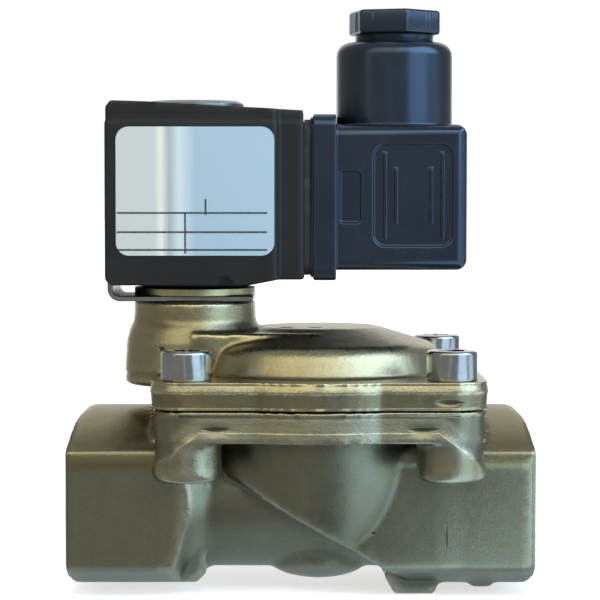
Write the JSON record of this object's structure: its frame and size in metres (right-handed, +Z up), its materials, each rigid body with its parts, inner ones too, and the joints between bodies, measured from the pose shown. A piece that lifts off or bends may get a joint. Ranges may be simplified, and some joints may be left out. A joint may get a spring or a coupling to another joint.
{
  "type": "solenoid valve",
  "caption": "Servo-assisted two-port brass diaphragm solenoid valve with bolted cover, swivelling coil in a steel yoke and square right-angle cable plug.",
  "frame": {"origin": "on the resting plane, midway between the two port faces and under the port axis", "axes": "+X along the pipe from the outlet port to the inlet port, +Y to the back, away from the rating label, +Z up along the guide tube"},
  "size_m": [0.08, 0.06, 0.1009],
  "materials": {
    "body_brass": "dull forged",
    "cover_brass": "satin forged",
    "turned_brass": "turned",
    "zinc_steel": "bright zinc",
    "stainless": "turned",
    "yoke_steel": "zinc plated strip",
    "yellow_steel": "yellow passivated",
    "nut_steel": "grey plated",
    "copper": "bare copper",
    "rubber": "matte",
    "bobbin_plastic": "moulded",
    "coil_plastic": "moulded, fine grain",
    "plug_plastic": "moulded satin",
    "label_foil": "satin printed foil"
  },
  "bodies": {
    "valve": {"valve_body": "body_brass", "cover": "cover_brass", "cover_screws": "zinc_steel", "diaphragm": "rubber", "diaphragm_spring": "stainless", "pilot_nozzle": "stainless", "guide_tube": "stainless", "tube_o_ring": "rubber", "fixed_core": "stainless", "shading_ring": "copper", "plunger_spring": "stainless", "coil_nut": "nut_steel"},
    "diaphragm_unit": {"diaphragm_plate": "stainless", "seat_plate": "turned_brass", "diaphragm_stud": "stainless", "diaphragm_nut": "stainless"},
    "plunger_unit": {"plunger": "stainless", "plunger_seal": "rubber"},
    "coil_unit": {"yoke": "yoke_steel", "flux_washer": "yellow_steel", "bobbin": "bobbin_plastic", "winding": "copper", "coil_housing": "coil_plastic", "rating_label": "label_foil", "insert_nut": "turned_brass", "connector_blades": "stainless", "connector_gasket": "rubber", "plug_insert": "coil_plastic", "plug_terminals": "turned_brass", "terminal_screws": "zinc_steel", "plug_housing": "plug_plastic", "plug_screw": "zinc_steel", "screw_seal": "rubber", "cable_grommet": "rubber", "gland_washer": "zinc_steel", "gland_nut": "plug_plastic"}
  },
  "joints": [
    {"name": "diaphragm_lift", "type": "slide", "parent": "valve", "child": "diaphragm_unit", "axis": [0, 0, 1], "range_m": [0, 0.005], "stiffness_N_per_m": 600, "springref_m": -0.006, "deforming": ["diaphragm", "diaphragm_spring"]},
    {"name": "plunger_lift", "type": "slide", "parent": "valve", "child": "plunger_unit", "axis": [0, 0, 1], "range_m": [0, 0.0018], "stiffness_N_per_m": 400, "springref_m": -0.004, "deforming": ["plunger_spring"]},
    {"name": "coil_swivel", "type": "hinge", "parent": "valve", "child": "coil_unit", "pos_m": [-0.01855, 0, 0.06], "axis": [0, 0, 1], "continuous": true}
  ]
}
